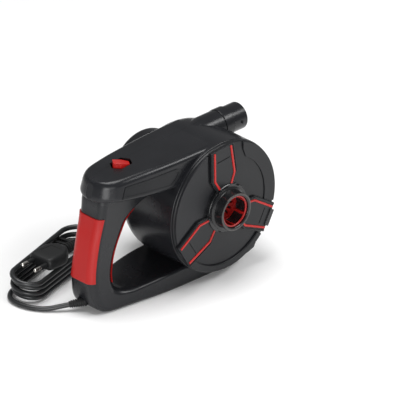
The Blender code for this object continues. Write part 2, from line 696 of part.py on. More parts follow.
def switch():
    """The rocker in the hood's top, and the switch body below it."""
    length, top = ROCKER_HALF_LENGTH, 164.6
    outline = [
        (ROCKER_X - length, 159.6), (ROCKER_X + length, 159.6), (ROCKER_X + length, top),
        (ROCKER_X + length * 0.4, top + 0.6), (ROCKER_X, top + 1.6), (ROCKER_X - length * 0.5, top + 3.2),
        (ROCKER_X - length, top + 3.9),
    ]
    rocker = plate("rocker_switch", outline, -ROCKER_HALF_WIDTH, ROCKER_HALF_WIDTH, RED_LOOK)
    modify(rocker, "BEVEL", width=1.0 * MM, segments=2, limit_method="ANGLE")
    body = box("switch_body", (ROCKER_X - 13, -8.5, 141.5), (ROCKER_X + 13, 8.5, 155.2), GREY_LOOK)
    boolean(body, "DIFFERENCE", box("switch_well", (ROCKER_X - 11, -7, 147), (ROCKER_X + 11, 7, 160)))


# ---------------------------------------------------------------- mains lead

def gland():
    """The tapered rubber boot that the lead leaves the handle through, gripped by the shells."""
    profile = [(0, 4.0), (5.2, 4.0), (5.2, 6.4), (4.2, 6.6), (4.2, 13.3)]
    for k in range(3):
        start, radius = 14.0 + 6.0 * k, 5.6 - 0.5 * k
        profile += [(radius, start), (radius - 0.1, start + 3.6), (radius - 0.9, start + 3.9),
                    (radius - 0.95, start + 5.6)]
    profile += [(3.7, GLAND_TIP - 0.3), (3.4, GLAND_TIP), (0, GLAND_TIP)]
    item = turned("cord_gland", profile[::-1], RUBBER_LOOK, at=GLAND_START, axis="Z", steps=14)
    item.rotation_euler = Vector(GLAND_DIRECTION).to_track_quat("Z", "Y").to_euler()


def hank_frame():
    """The place and turn of the hank: its left fold's centre and its long direction."""
    return (Matrix.Translation(Vector((*HANK_LEFT, 0)) * MM) @ Matrix.Rotation(HANK_ANGLE, 4, "Z"))


def plug_frame():
    """Where the plug's strain relief starts, and its direction: a tangent to the right fold where the tail leaves."""
    leaving = math.radians(TAIL_TO)
    way = leaving - math.pi / 2
    x = HANK_RUN + HANK_FOLD_R * math.cos(leaving) + TAIL_STRAIGHT * math.cos(way)
    y = HANK_FOLD_R * math.sin(leaving) + TAIL_STRAIGHT * math.sin(way)
    return hank_frame() @ Matrix.Translation(Vector((x, y, PLUG_Z)) * MM) @ Matrix.Rotation(way, 4, "Z")


def tail_route(steps=10):
    """Round the right fold on top of the hank, then straight back to the plug's strain relief."""
    points = []
    for k in range(steps + 1):
        u = k / steps
        angle = math.radians(90 + (TAIL_TO - 90) * u)
        climb = u * u * (3 - 2 * u)
        points.append(Vector((HANK_RUN + HANK_FOLD_R * math.cos(angle), HANK_FOLD_R * math.sin(angle),
                              TAIL_START_Z + (PLUG_Z - TAIL_START_Z) * climb)) * MM)
    points = [hank_frame() @ p / MM for p in points]
    points.append(plug_frame() @ Vector((-GAP * MM, 0, 0)) / MM)
    return points


def mains_lead():
    tube("cord_lead", smooth_route(LEAD_ROUTE, 24), CORD_R, RUBBER_LOOK)
    tube("cord_tail", tail_route(), CORD_R, RUBBER_LOOK)
    reach = HANK_FOLD_R + CORD_R
    outline = []
    for centre, start in ((HANK_RUN, -90), (0.0, 90)):
        for k in range(13):
            angle = math.radians(start + 180 * k / 12)
            outline.append((centre + reach * math.cos(angle), reach * math.sin(angle)))
    hank = plate("cord_hank", outline, HANK_BOTTOM, HANK_TOP, RUBBER_LOOK, upright=False)
    hank.matrix_world = hank_frame() @ hank.matrix_world
    tie = box("cord_tie", (TIE_AT - 6, -reach - 1.5, 0.2), (TIE_AT + 6, reach + 1.5, HANK_TOP + 1.4), RUBBER_LOOK)
    hole = box("cord_tie_hole", (TIE_AT - 20, -reach - GAP, HANK_BOTTOM - GAP),
               (TIE_AT + 20, reach + GAP, HANK_TOP + GAP))
    for item in (tie, hole):
        item.matrix_world = hank_frame() @ item.matrix_basis
    boolean(tie, "DIFFERENCE", hole)


def mains_plug():
    """A flat two-pin plug with a ribbed strain relief, lying on the hank."""
    frame = plug_frame()
    profile = [(0, 0), (4.2, 0), (4.6, 1.0)]
    for k in range(4):
        start, radius = 2.0 + 8.0 * k, 5.0 + 0.5 * k
        profile += [(radius, start), (radius, start + 5.0), (radius - 0.9, start + 5.3), (radius - 0.8, start + 7.6)]
    profile += [(6.4, RELIEF_LENGTH), (0, RELIEF_LENGTH)]
    relief = turned("plug_relief", profile, RUBBER_LOOK, at=(0, 0, 0), axis="X", steps=14)
    relief.matrix_world = frame @ relief.matrix_basis
    front = RELIEF_LENGTH + GAP
    sections = ((0.0, 9.0, 7.2), (5.0, 14.5, 7.8), (14.0, 17.5, 8.0), (28.0, 17.5, 8.0), (34.0, 16.5, 7.4),
                (PLUG_LENGTH, 15.5, 6.6))
    rings = []
    for reach, half_width, half_height in sections:
        section = rounded_section(-half_width, half_width, -half_height, half_height, 5.5)
        rings.append([(front + reach, u, v) for u, v in section])
    body = loft("plug_body", rings, RUBBER_LOOK)
    body.matrix_world = frame @ body.matrix_basis
    for number, side in ((1, -1), (2, 1)):
        start = front + PLUG_LENGTH + GAP
        profile = [(0, start), (2.4, start), (2.4, start + 18.0), (1.4, start + 19.0), (0, start + 19.0)]
        pin = turned(f"plug_pin_{number}", profile, BRASS_LOOK, at=(0, side * 9.5, 0), axis="X", steps=16)
        pin.matrix_world = frame @ pin.matrix_basis


housing()
housing_screws()
grips()
badge()
face_cover()
inlet_guard()
outlet_nozzle()
blower()
motor()
motor_cover()
switch()
gland()
mains_lead()
mains_plug()
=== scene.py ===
"""The finished look of the electric air pump: fine shells, cover, grips, mains lead and materials.

Sizes are in millimetres in the model's own frame and are scaled to metres when a mesh is made.
"""

import json
import math

import bmesh
import bpy
from mathutils import Matrix, Vector


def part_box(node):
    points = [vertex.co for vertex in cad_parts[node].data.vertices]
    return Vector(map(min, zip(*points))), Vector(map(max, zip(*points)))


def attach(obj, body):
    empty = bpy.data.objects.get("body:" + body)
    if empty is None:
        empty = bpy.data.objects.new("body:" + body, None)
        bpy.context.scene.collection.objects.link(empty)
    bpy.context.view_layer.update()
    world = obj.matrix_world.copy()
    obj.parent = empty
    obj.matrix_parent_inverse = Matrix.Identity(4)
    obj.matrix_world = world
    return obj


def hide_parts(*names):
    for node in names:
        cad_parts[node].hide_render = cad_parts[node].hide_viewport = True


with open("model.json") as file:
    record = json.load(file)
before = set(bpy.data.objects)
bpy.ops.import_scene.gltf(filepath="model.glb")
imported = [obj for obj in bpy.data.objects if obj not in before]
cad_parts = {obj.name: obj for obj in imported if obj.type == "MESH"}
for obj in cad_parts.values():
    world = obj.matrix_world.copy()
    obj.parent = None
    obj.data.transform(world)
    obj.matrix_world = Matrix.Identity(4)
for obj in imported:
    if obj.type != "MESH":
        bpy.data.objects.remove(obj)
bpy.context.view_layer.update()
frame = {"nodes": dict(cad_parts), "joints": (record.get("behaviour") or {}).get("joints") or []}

MM = 0.001
GAP = 0.3       # round a piece that is let into another
SEAM = 0.15     # between the two shells
WALL = 2.6

AXIS_Z = frame["joints"][0]["pos_m"][2] / MM
DRUM_R = 78.5
# Degrees round the axis, and how far the scroll stands out from the drum's radius there
SCROLL = ((-130, 0.0), (-110, 1.5), (-90, 1.5), (-78, 3.0), (-66, 5.0), (-55, 9.0), (-48, 4.5),
          (-42, 4.5), (-20, 1.5), (20, 0.0))
DRUM_FRONT, DRUM_BACK = -48.0, 48.0
DRUM_STEPS = 176
BACK_FILLET = 31.0
FRONT_FILLET = 1.2
HOLLOW_FILLET = 1.0
SPLIT_Y = 6.0
HUB_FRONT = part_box("face_cover")[0].y / MM
OUTLET_Y, OUTLET_Z = 8.0, 153.0
OUTLET_AXIS = (0, OUTLET_Y, OUTLET_Z)

CORD_R = 2.9
CORD_STEP = 4.0
# From the boot down to the floor and along it
LEAD_ROUTE = (
    (-178.36, 11.92, 7.51), (-183.1, 15.5, 6.5), (-189.3, 20.2, 5.2), (-194.6, 24.6, 4.0),
    (-200.2, 30.6, 3.2), (-205.0, 37.5, 3.1), (-208.8, 45.0, 3.1), (-211.0, 53.0, 3.1),
    (-211.8, 60.0, 3.1), (-211.6, 66.0, 3.1),
)
# Degrees, radius and height round the hank's first fold, where the lead turns into it
LEAD_TURN = ((169.5, 23.4, 3.2), (155, 21.9, 3.5), (140, 20.2, 4.0), (126, 18.8, 4.4))
IN_BOOT = 2.3
IN_PLUG = 2.0
GLAND_START = (-153.0, -7.3, 13.0)
GLAND_DIRECTION = (-0.785, 0.595, -0.17)
HANK_LEFT = (-187.0, 68.0)
HANK_ANGLE = math.radians(15.0)
HANK_RUN = 100.0
HANK_FOLD_R = 18.0
FOLD_STEPS = 14
# How far each layer's left fold is shifted, with one more for the straight after the last
LAYER_SHIFTS = (0.0, 3.0, 1.0, 4.0, 0.5)
# How far each layer's right fold falls short
LAYER_PULLS = (0.0, 2.0, 4.0, 1.0)
STRAIGHT_SHARES = (0.2, 0.4, 0.6, 0.8)
LAYER_STEP = 6.0
FIRST_LAYER_Z = 4.6
TAIL_TO = -101.0
TAIL_STRAIGHT = 4.0
TAIL_RISE = 2.4
PLUG_Z = 34.0
TIE_PLACES = (85.0, 90.5)
TIE_TOP = 26.3


# ---------------------------------------------------------------- materials

PATCH_SCALE = 28.0      # per metre
GLOSS_SWING = 0.05
GRAIN_DEPTH = 0.0002    # metres


def material(name, colour, roughness, grain=0.0, bump=0.0, variation=0.12, metallic=0.0,
             specular=0.5):
    """A moulded or drawn surface: slow changes of colour and gloss, and a fine grain as bump."""
    made = bpy.data.materials.new(name)
    made.use_nodes = True
    nodes, links = made.node_tree.nodes, made.node_tree.links
    shader = nodes["Principled BSDF"]
    shader.inputs["Metallic"].default_value = metallic
    shader.inputs["Specular IOR Level"].default_value = specular
    place = nodes.new("ShaderNodeTexCoord")
    broad = nodes.new("ShaderNodeTexNoise")
    broad.inputs["Scale"].default_value = PATCH_SCALE
    broad.inputs["Detail"].default_value = 4.0
    links.new(place.outputs["Object"], broad.inputs["Vector"])
    tint = nodes.new("ShaderNodeValToRGB")
    low, high = 1.0 - variation, 1.0 + variation
    tint.color_ramp.elements[0].position = 0.3
    tint.color_ramp.elements[1].position = 0.7
    tint.color_ramp.elements[0].color = (*(min(1.0, c * low) for c in colour), 1.0)
    tint.color_ramp.elements[1].color = (*(min(1.0, c * high) for c in colour), 1.0)
    links.new(broad.outputs["Fac"], tint.inputs["Fac"])
    links.new(tint.outputs["Color"], shader.inputs["Base Color"])
    gloss = nodes.new("ShaderNodeMapRange")
    gloss.inputs["To Min"].default_value = roughness - GLOSS_SWING
    gloss.inputs["To Max"].default_value = roughness + GLOSS_SWING
    links.new(broad.outputs["Fac"], gloss.inputs["Value"])
    links.new(gloss.outputs["Result"], shader.inputs["Roughness"])
    if grain:
        fine = nodes.new("ShaderNodeTexNoise")
        fine.inputs["Scale"].default_value = 1.0 / (grain * MM)
        fine.inputs["Detail"].default_value = 2.0
        links.new(place.outputs["Object"], fine.inputs["Vector"])
        height = nodes.new("ShaderNodeBump")
        height.inputs["Strength"].default_value = bump
        height.inputs["Distance"].default_value = GRAIN_DEPTH
        links.new(fine.outputs["Fac"], height.inputs["Height"])
        links.new(height.outputs["Normal"], shader.inputs["Normal"])
    return made


BLACK = (0.011, 0.0115, 0.0135)
SHELL = material("shell_plastic", BLACK, 0.26, grain=0.5, bump=0.10, specular=0.32)
COVER = material("cover_plastic", (0.009, 0.0095, 0.011), 0.32,
                 grain=0.45, bump=0.08, specular=0.28)
SECTOR = material("sector_plastic", (0.012, 0.0125, 0.0145), 0.42,
                  grain=0.4, bump=0.10, specular=0.28)
GLOSSY = material("glossy_black", (0.008, 0.0085, 0.0095), 0.24, grain=0.8, bump=0.04)
# A lighter grey for the hub's lip: a painted highlight along the tube's front edge
LIP_HIGHLIGHT_GREY = material("painted_highlight_grey", (0.045, 0.041, 0.038), 0.30, grain=0.5, bump=0.05)
RED = material("red_plastic", (0.44, 0.011, 0.009), 0.34,
               grain=0.5, bump=0.05, variation=0.06, specular=0.35)
GUARD = material("guard_red", (0.34, 0.010, 0.009), 0.36, grain=0.5, bump=0.05, variation=0.06)
GRIP = material("red_grip", (0.37, 0.006, 0.005), 0.4,
                grain=0.35, bump=0.22, variation=0.05, specular=0.3)
RUBBER = material("black_rubber", (0.008, 0.0085, 0.009), 0.5, grain=0.3, bump=0.2, specular=0.35)
JACKET = material("cord_jacket", (0.015, 0.016, 0.017), 0.33, grain=0.9, bump=0.10)
STEEL = material("steel", (0.56, 0.56, 0.57), 0.28,
                 grain=0.4, bump=0.1, metallic=1.0, variation=0.06)
COPPER = material("copper", (0.72, 0.33, 0.16), 0.35,
                  grain=0.3, bump=0.3, metallic=1.0, variation=0.1)
BRASS = material("brass", (0.66, 0.50, 0.22), 0.25,
                 grain=0.5, bump=0.05, metallic=1.0, variation=0.05)
NICKEL = material("nickel", (0.66, 0.64, 0.60), 0.2,
                  grain=0.5, bump=0.04, metallic=1.0, variation=0.05)
GREY = material("grey_plastic", (0.15, 0.15, 0.16), 0.5, grain=0.4, bump=0.15)
CARBON = material("carbon", (0.05, 0.05, 0.052), 0.55, grain=0.2, bump=0.3)


# ---------------------------------------------------------------- shapes

SHARP_ANGLE = 32.0


def to_object(name, bm, look):
    """A scene object from a bmesh, with its doubles merged and its normals pointing out."""
    bmesh.ops.remove_doubles(bm, verts=bm.verts, dist=0.000002)
    bmesh.ops.recalc_face_normals(bm, faces=bm.faces)
    mesh = bpy.data.meshes.new(name)
    bm.to_mesh(mesh)
    bm.free()
    if look:
        mesh.materials.append(look)
    item = bpy.data.objects.new(name, mesh)
    bpy.context.scene.collection.objects.link(item)
    return item


def loft(name, rings, look=None):
    """A closed skin through rings of as many points each, capped at both ends."""
    bm = bmesh.new()
    loops = [[bm.verts.new(Vector(p) * MM) for p in ring] for ring in rings]
    count = len(loops[0])
    for low, high in zip(loops, loops[1:]):
        for i in range(count):
            j = (i + 1) % count
            bm.faces.new((low[i], low[j], high[j], high[i]))
    bm.faces.new(loops[0])
    bm.faces.new(loops[-1])
    return to_object(name, bm, look)


def lathe(name, profile, look=None, axis="Y", at=(0, 0, AXIS_Z), steps=128, ring=False):
    """A profile of (radius, place along the axis) turned about an axis through a point.

    A solid's profile starts and ends on the axis, and a ring's closes on itself.
    """
    bm = bmesh.new()
    columns = []
    for k in range(steps):
        angle = 2 * math.pi * k / steps
        u, v = math.cos(angle), math.sin(angle)
        column = []
        for r, a in profile:
            point = {"Y": (r * u, a, r * v), "X": (a, r * u, r * v), "Z": (r * u, r * v, a)}[axis]
            column.append(bm.verts.new((Vector(point) + Vector(at)) * MM))
        columns.append(column)
    last = len(profile) if ring else len(profile) - 1
    for k in range(steps):
        one, two = columns[k], columns[(k + 1) % steps]
        for i in range(last):
            j = (i + 1) % len(profile)
            corners = [one[i], one[j], two[j], two[i]]
            if profile[i][0] == 0:
                corners.remove(two[i])
            if profile[j][0] == 0:
                corners.remove(two[j])
            if len(corners) > 2:
                bm.faces.new(corners)
    for column in columns[1:]:
        for (r, _), vert in zip(profile, column):
            if r == 0:
                bm.verts.remove(vert)
    if not ring:
        bmesh.ops.holes_fill(bm, edges=bm.edges, sides=0)
    return to_object(name, bm, look)


def prism(name, outline, low, high, look=None, bevel=0.0, upright=True, segments=2):
    """An outline extruded along Y when upright and otherwise along Z, with rounded edges."""
    rings = []
    for level in (low, high):
        rings.append([(a, level, b) if upright else (a, b, level) for a, b in outline])
    item = loft(name, rings, look)
    return soften(item, bevel, segments) if bevel else item


def box(name, low, high, look=None, bevel=0.0):
    """A box between two corners, with rounded edges if it has a bevel."""
    (x0, y0, z0), (x1, y1, z1) = low, high
    rings = [[(x0, y0, z), (x1, y0, z), (x1, y1, z), (x0, y1, z)] for z in (z0, z1)]
    item = loft(name, rings, look)
    return soften(item, bevel, 3) if bevel else item


def bake(item):
    """Applies an object's modifiers."""
    graph = bpy.context.evaluated_depsgraph_get()
    mesh = bpy.data.meshes.new_from_object(item.evaluated_get(graph))
    item.modifiers.clear()
    item.data = mesh
    return item


def soften(item, width, segments=2, angle=30.0):
    """Rounds each edge that is sharper than an angle."""
    modifier = item.modifiers.new("bevel", "BEVEL")
    modifier.width = width * MM
    modifier.segments = segments
    modifier.limit_method = "ANGLE"
    modifier.angle_limit = math.radians(angle)
    modifier.use_clamp_overlap = True
    return bake(item)


def combine(item, operation, *others, keep=False):
    """Adds, cuts or intersects other objects, and removes them unless they are kept."""
    for other in others:
        modifier = item.modifiers.new("boolean", "BOOLEAN")
        modifier.operation = operation
        modifier.object = other
        modifier.solver = "EXACT"
    bake(item)
    if not keep:
        for other in others:
            bpy.data.objects.remove(other, do_unlink=True)
    return item


def shade(item):
    """Smooth shading that keeps the sharp edges."""
    item.data.shade_smooth()
    item.data.set_sharp_from_angle(angle=math.radians(SHARP_ANGLE))
    modifier = item.modifiers.new("normals", "WEIGHTED_NORMAL")
    modifier.keep_sharp = True
    modifier.weight = 60
    return item


def move(item, matrix):
    """Moves an object's mesh and leaves its origin where it is."""
    item.data.transform(matrix)
    return item


def around(name, count, first, low, high, bevel):
    """Boxes spaced evenly round the drum's axis, of which the first is turned by an angle."""
    middle = Matrix.Translation((0, 0, AXIS_Z * MM))
    items = []
    for k in range(count):
        turn = middle @ Matrix.Rotation(math.radians(first + 360 / count * k), 4, "Y")
        items.append(move(box(f"{name}_{k}", low, high, None, bevel), turn))
    return items


def finish(item, body, slot, *nodes):
    """Shades a piece, lets it ride on its body, and hides the solids that it stands for."""
    shade(item)
    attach(item, body)
    if nodes:
        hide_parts(*nodes)
    return item


def catmull(values, t):
    """The Catmull-Rom curve through a row of values, as a Vector; t counts the values passed."""
    last = len(values) - 1
    i = min(int(t), last - 1)
    u = t - i
    a, b, c, d = (Vector(values[min(max(k, 0), last)]) for k in (i - 1, i, i + 1, i + 2))
    return 0.5 * (2 * b + (c - a) * u + (2 * a - 5 * b + 4 * c - d) * u ** 2
                  + (3 * (b - c) + d - a) * u ** 3)


def catmull_exact(values, t):
    """The same curve in double precision, as a list."""
    last = len(values) - 1
    i = min(int(t), last - 1)
    u = t - i
    rows = [values[min(max(k, 0), last)] for k in (i - 1, i, i + 1, i + 2)]
    out = []
    for a, b, c, d in zip(*rows):
        out.append(0.5 * (2 * b + (c - a) * u + (2 * a - 5 * b + 4 * c - d) * u ** 2
                          + (3 * (b - c) + d - a) * u ** 3))
    return out


def rounded_section(u0, u1, v0, v1, radius, steps=7):
    """A rectangle's outline with round corners."""
    radius = min(radius, 0.49 * (u1 - u0), 0.49 * (v1 - v0))
    points = []
    for u, v, start in ((u1, v1, 0), (u0, v1, 90), (u0, v0, 180), (u1, v0, 270)):
        cu = u - radius if u == u1 else u + radius
        cv = v - radius if v == v1 else v + radius
        for k in range(steps + 1):
            angle = math.radians(start + 90 * k / steps)
            points.append((cu + radius * math.cos(angle), cv + radius * math.sin(angle)))
    return points


def polar(radius, degrees):
    """X and z at a radius and an angle round the drum's axis."""
    angle = math.radians(degrees)
    return (radius * math.cos(angle), AXIS_Z + radius * math.sin(angle))


def arc(radius, start, end, steps):
    return [polar(radius, start + (end - start) * k / steps) for k in range(steps + 1)]


# ---------------------------------------------------------------- camera, floor and light

CAMERA_RIGHT = Vector((0.7193, -0.6947, 0.0))
CAMERA_UP = Vector((0.3262, 0.3377, 0.8829))
CAMERA_BACK = CAMERA_RIGHT.cross(CAMERA_UP)
CAMERA_FAR = 12000.0
SENSOR = 36.0
VIEW_WIDTH = 466.7
AIM = Vector((0.0, -51.0, 92.0)) + CAMERA_RIGHT * -15.6 + CAMERA_UP * -6.7
WHITE = (1.0, 1.0, 1.0, 1.0)
SKY_STRENGTH = 0.24
# Metres and watts: name, place, aim, size and power
LIGHTS = (
    ("top_softbox", (-0.1, 0.4, 3.2), (0, 0.1, 0.0), (2.0, 2.0), 84.0),
    ("front_softbox", (0.53, -0.68, 0.92), (0, 0, 0.1), (0.8, 0.3), 7.0),
    ("left_softbox", (-1.15, -0.78, 0.34), (-0.1, 0, 0.12), (0.8, 0.6), 10.0),
)


def stage():
    """The camera, the floor, the sky and the softboxes."""
    data = bpy.data.cameras.new("camera")
    data.sensor_width = SENSOR
    data.lens = SENSOR * CAMERA_FAR / VIEW_WIDTH
    data.clip_start, data.clip_end = 1.0, 40.0
    camera = bpy.data.objects.new("camera", data)
    bpy.context.scene.collection.objects.link(camera)
    turn = Matrix((CAMERA_RIGHT, CAMERA_UP, CAMERA_BACK)).transposed().to_4x4()
    camera.matrix_world = Matrix.Translation((AIM + CAMERA_BACK * CAMERA_FAR) * MM) @ turn
    bpy.context.scene.camera = camera
    bpy.context.scene.view_settings.view_transform = "Standard"

    bpy.ops.mesh.primitive_plane_add(size=12.0, location=(0, 0, -0.0002))
    floor = bpy.context.object
    floor.name = "floor"
    paint = material("floor_paint", (0.93, 0.93, 0.93), 0.6, variation=0.004)
    floor.data.materials.append(paint)

    world = bpy.data.worlds.new("world")
    bpy.context.scene.world = world
    world.use_nodes = True
    sky = world.node_tree.nodes["Background"]
    sky.inputs["Color"].default_value = WHITE
    sky.inputs["Strength"].default_value = SKY_STRENGTH

    for name, place, aim, (wide, tall), watts in LIGHTS:
        lamp = bpy.data.lights.new(name, "AREA")
        lamp.shape = "RECTANGLE"
        lamp.size, lamp.size_y = wide, tall
        lamp.energy = watts
        item = bpy.data.objects.new(name, lamp)
        item.location = place
        item.rotation_euler = (Vector(place) - Vector(aim)).to_track_quat("Z", "Y").to_euler()
        bpy.context.scene.collection.objects.link(item)


# ---------------------------------------------------------------- mains lead

# Where the hank's and the boot's own coordinates lie in the model
HANK = Matrix.Translation(Vector((*HANK_LEFT, 0)) * MM) @ Matrix.Rotation(HANK_ANGLE, 4, "Z")
GLAND_TURN = Vector(GLAND_DIRECTION).to_track_quat("Z", "Y").to_matrix().to_4x4()
GLAND = Matrix.Translation(Vector(GLAND_START) * MM) @ GLAND_TURN


def plug_frame():
    """Where the plug's relief starts, on a tangent to the right fold where the tail leaves it."""
    leaving = math.radians(TAIL_TO)
    way = leaving - math.pi / 2
    x = HANK_RUN + HANK_FOLD_R * math.cos(leaving) + TAIL_STRAIGHT * math.cos(way)
    y = HANK_FOLD_R * math.sin(leaving) + TAIL_STRAIGHT * math.sin(way)
    return HANK @ Matrix.Translation(Vector((x, y, PLUG_Z)) * MM) @ Matrix.Rotation(way, 4, "Z")


def fold(centre, start, end, low, high):
    """One end of the hank, from an angle to another, climbing from low to high."""
    points = []
    for k in range(FOLD_STEPS + 1):
        u = k / FOLD_STEPS
        angle = math.radians(start + (end - start) * u)
        x, y = centre + HANK_FOLD_R * math.cos(angle), HANK_FOLD_R * math.sin(angle)
        points.append((x, y, low + (high - low) * (u * u * (3 - 2 * u))))
    return points


def hank_route():
    """Clockwise layers that climb round the left fold, and then the tail round the right fold."""
    route = []
    for layer, pull in enumerate(LAYER_PULLS):
        z = FIRST_LAYER_Z + LAYER_STEP * layer
        shift, following = LAYER_SHIFTS[layer:layer + 2]
        far = HANK_RUN - pull
        left = fold(shift, 270, 90, z - LAYER_STEP, z)
        route += left if layer else left[-2:]       # the lead turns in near the first fold's end
        route += [(shift + (far - shift) * u, HANK_FOLD_R, z) for u in STRAIGHT_SHARES]
        route += fold(far, 90, -90, z, z)
        route += [(far + (following - far) * u, -HANK_FOLD_R, z) for u in STRAIGHT_SHARES]
    route += fold(0.0, 270, 90, z, z + LAYER_STEP)
    top = z + LAYER_STEP
    route += [(HANK_RUN * u, HANK_FOLD_R, top + TAIL_RISE * u) for u in STRAIGHT_SHARES]
    route += fold(HANK_RUN, 90, TAIL_TO, top + TAIL_RISE, PLUG_Z)
    return route


def cord_points():
    """The whole lead, from inside its boot through the hank and into the plug's relief."""
    boot_way = Vector(GLAND_DIRECTION).normalized()
    points = [Vector(LEAD_ROUTE[0]) - boot_way * IN_BOOT]
    points += [Vector(p) for p in LEAD_ROUTE]
    for degrees, radius, z in LEAD_TURN:
        turn = math.radians(degrees)
        x, y = HANK_LEFT[0] + radius * math.cos(turn), HANK_LEFT[1] + radius * math.sin(turn)
        points.append(Vector((x, y, z)))
    points += [HANK @ (Vector(p) * MM) / MM for p in hank_route()]
    points.append(plug_frame() @ Vector((IN_PLUG * MM, 0, 0)) / MM)
    return points


def spaced(points, step):
    """The same line through points that are evenly spaced."""
    fine = 12
    rows = [tuple(p) for p in points]
    dense = [catmull(rows, i / fine) for i in range((len(points) - 1) * fine + 1)]
    out = [dense[0]]
    for a, b in zip(dense, dense[1:]):
        while (b - out[-1]).length >= step and (b - a).length > 1e-9:
            way = b - out[-1]
            out.append(out[-1] + way * (step / way.length))
    out.append(dense[-1])
    return out


def cord():
    """The mains lead as one tube, and the points along its middle."""
    points = spaced(cord_points(), CORD_STEP)
    data = bpy.data.curves.new("mains_lead", "CURVE")
    data.dimensions = "3D"
    data.bevel_depth = CORD_R * MM
    data.bevel_resolution = 6
    data.use_fill_caps = True
    spline = data.splines.new("POLY")
    spline.points.add(len(points) - 1)
    for point, co in zip(spline.points, points):
        point.co = (*(co * MM), 1.0)
    spline.use_smooth = True
    data.materials.append(JACKET)
    lead = bpy.data.objects.new("mains_lead", data)
    bpy.context.scene.collection.objects.link(lead)
    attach(lead, "housing")
    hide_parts("cord_lead", "cord_tail", "cord_hank")
    return lead, points


def ribbed(start, end, count, r0, r1, depth, land=0.6):
    """The outline of a row of rounded ribs along a taper."""
    profile = []
    pitch = (end - start) / count
    edge, slope = 0.35, 0.25
    for k in range(count):
        radius = r0 + (r1 - r0) * (k + 0.5) / count
        a = start + pitch * k
        profile += [(radius - edge, a), (radius, a + edge), (radius, a + pitch * land - edge),
                    (radius - edge, a + pitch * land), (radius - depth, a + pitch * land + slope),
                    (radius - depth, a + pitch - slope)]
    return profile


def gland():
    """The lead's ribbed boot, along z until it is put in its place."""
    profile = [(0, 4.0), (5.2, 4.0), (5.2, 6.4), (4.2, 6.6), (4.2, 12.6), (5.7, 13.0)]
    profile += ribbed(13.4, 30.4, 7, 5.6, 4.4, 1.1)
    profile += [(3.9, 30.6), (3.6, 31.6), (3.1, 32.0), (0, 32.0)]
    boot = lathe("lead_boot", profile, RUBBER, axis="Z", at=(0, 0, 0), steps=64)
    move(boot, GLAND)
    return finish(boot, "housing", "black_rubber", "cord_gland")


def plug():
    """The two-pin plug with its ribbed relief, along x until it is put in its place."""
    place = plug_frame()
    profile = [(0, 0), (3.5, 0), (3.9, 0.6)]
    profile += ribbed(1.0, 34.0, 9, 4.9, 6.3, 1.3, land=0.58)
    profile += [(5.6, 34.2), (6.6, 35.2), (6.6, 37.4), (0, 37.4)]
    relief = lathe("plug_boot", profile, RUBBER, axis="X", at=(0, 0, 0), steps=64)
    move(relief, place)
    front, count = 36.3, 32
    # Reach, half the width and half the height
    sections = ((0.0, 8.6, 6.6), (2.0, 10.4, 7.4), (6.0, 13.8, 7.8), (12.0, 17.0, 8.0),
                (20.0, 17.5, 8.0), (29.0, 17.3, 7.9), (35.0, 16.4, 7.3), (37.3, 15.2, 6.3),
                (38.0, 13.6, 5.0))
    rings = []
    for i in range(count + 1):
        reach, half_width, half_height = catmull(sections, i * (len(sections) - 1) / count)
        section = rounded_section(-half_width, half_width, -half_height, half_height, 5.6, 6)
        rings.append([(front + reach, u, v) for u, v in section])
    body = loft("plug_shell", rings, RUBBER)
    panel = prism("plug_panel", [(a + front + 19, b) for a, b in
                                 ((-9, -8), (7, -10), (10, -7), (10, 7), (7, 10), (-9, 8))],
                  7.5, 12.0, None, 0.5, upright=False)
    combine(body, "DIFFERENCE", panel)
    move(body, place)
    pins = []
    start, pin_y = front + sections[-1][0], 9.5
    for number, side in ((1, -1), (2, 1)):
        profile = [(0, start - 3.0), (2.4, start - 3.0), (2.4, start + 17.6), (2.0, start + 18.6),
                   (1.2, start + 19.2), (0, start + 19.3)]
        at = (0, side * pin_y, 0)
        pin = lathe(f"plug_prong_{number}", profile, NICKEL, axis="X", at=at, steps=40)
        sleeve = [(2.75, start - 2.0), (2.75, start + 9.6), (2.4, start + 10.0), (2.2, start + 10.0),
                  (2.2, start - 2.0)]
        cover = lathe(f"prong_sleeve_{number}", sleeve, RUBBER, axis="X", at=at, steps=40, ring=True)
        for item in (pin, cover):
            move(item, place)
        finish(pin, "housing", "brass", f"plug_pin_{number}")
        finish(cover, "housing", "black_rubber")
        pins += [pin, cover]
    finish(relief, "housing", "black_rubber", "plug_relief")
    finish(body, "housing", "black_rubber", "plug_body")
    return [relief, body, *pins]


def tie():
    """A flat tie that goes twice round the hank, leaning once each way."""
    corner, low, high = 3.6, 0.75, TIE_TOP
    half_width, half_thickness, most_lean = 1.9, 0.55, 1.6
    reach = HANK_FOLD_R + corner
    loops = []
    for k, x in enumerate(TIE_PLACES):
        section = rounded_section(-reach, reach, low, high, corner, 6)
        count = len(section)
        rings = []
        for i, (y, z) in enumerate(section):
            before, after = Vector(section[i - 1]), Vector(section[(i + 1) % count])
            way = (after - before).normalized()
            out = Vector((way.y, -way.x)) * half_thickness
            middle = x + most_lean * (z - low) / (high - low) * (1 if k else -1)
            left, right = middle - half_width, middle + half_width
            rings.append([(left, y - out.x, z - out.y), (right, y - out.x, z - out.y),
                          (right, y + out.x, z + out.y), (left, y + out.x, z + out.y)])
        bm = bmesh.new()
        made = [[bm.verts.new(Vector(p) * MM) for p in ring] for ring in rings]
        for i in range(count):
            one, two = made[i], made[(i + 1) % count]
            for c in range(4):
                bm.faces.new((one[c], one[(c + 1) % 4], two[(c + 1) % 4], two[c]))
        loops.append(to_object(f"tie_loop_{k + 1}", bm, RUBBER))
    for item in loops:
        soften(item, 0.25, 2)
        move(item, HANK)
    finish(loops[0], "housing", "black_rubber", "cord_tie")
    finish(loops[1], "housing", "black_rubber")
    return loops


# ---------------------------------------------------------------- housing

